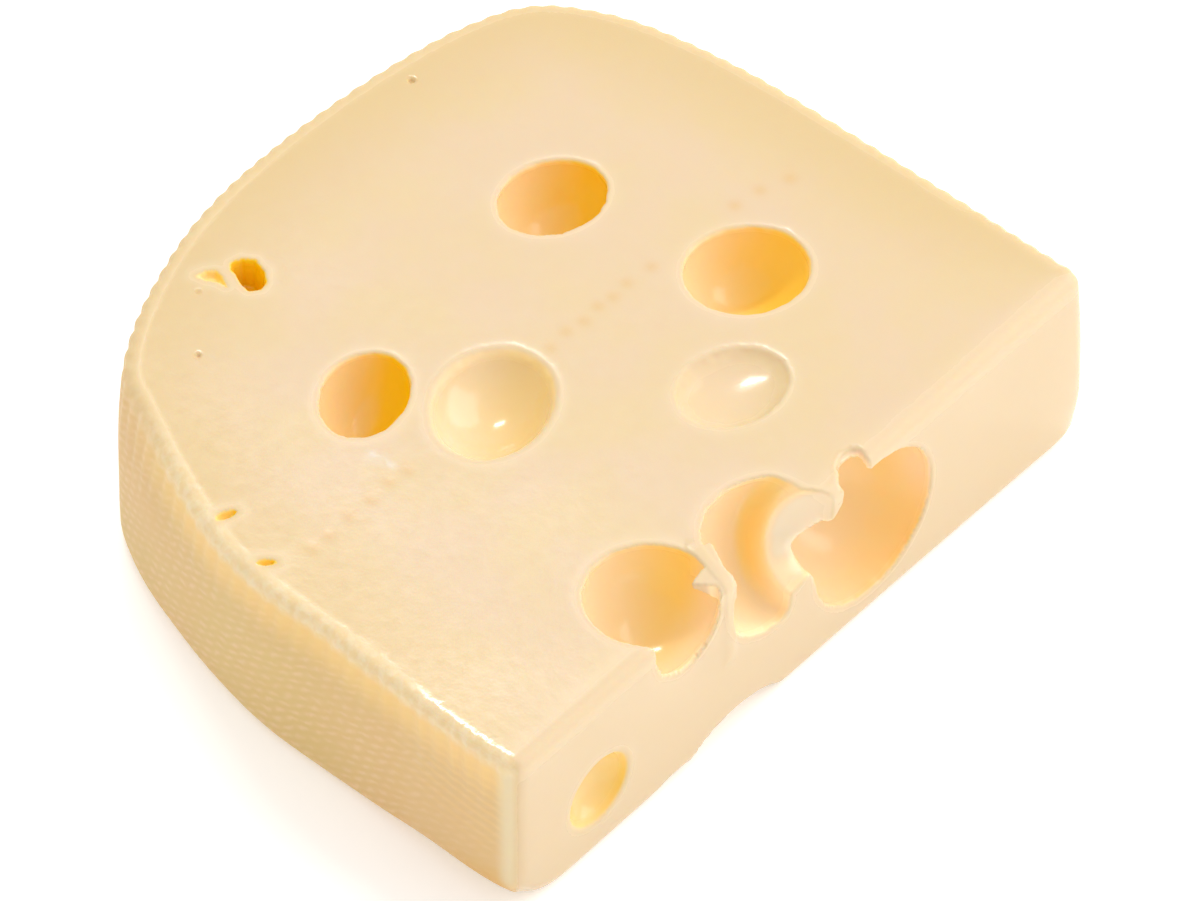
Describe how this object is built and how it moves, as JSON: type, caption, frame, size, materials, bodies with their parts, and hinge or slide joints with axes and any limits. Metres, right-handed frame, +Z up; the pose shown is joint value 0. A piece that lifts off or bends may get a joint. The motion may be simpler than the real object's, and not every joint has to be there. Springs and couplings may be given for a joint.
{
  "type": "cheese wedge",
  "caption": "Thick slab of pale semi-hard cheese with round eyes, cut from the rind side of a wheel and resting on its large cut face.",
  "frame": {"origin": "centre of the bounding box at the resting face", "axes": "+X along the narrow cut face, +Y from the narrow cut face into the slab towards the wheel's outer rind, +Z up through the slab's thickness"},
  "size_m": [0.1138, 0.0974, 0.0285],
  "materials": {
    "paste": "moist satin, slightly translucent"
  },
  "bodies": {
    "root": {"cheese_wedge": "paste"}
  },
  "joints": []
}
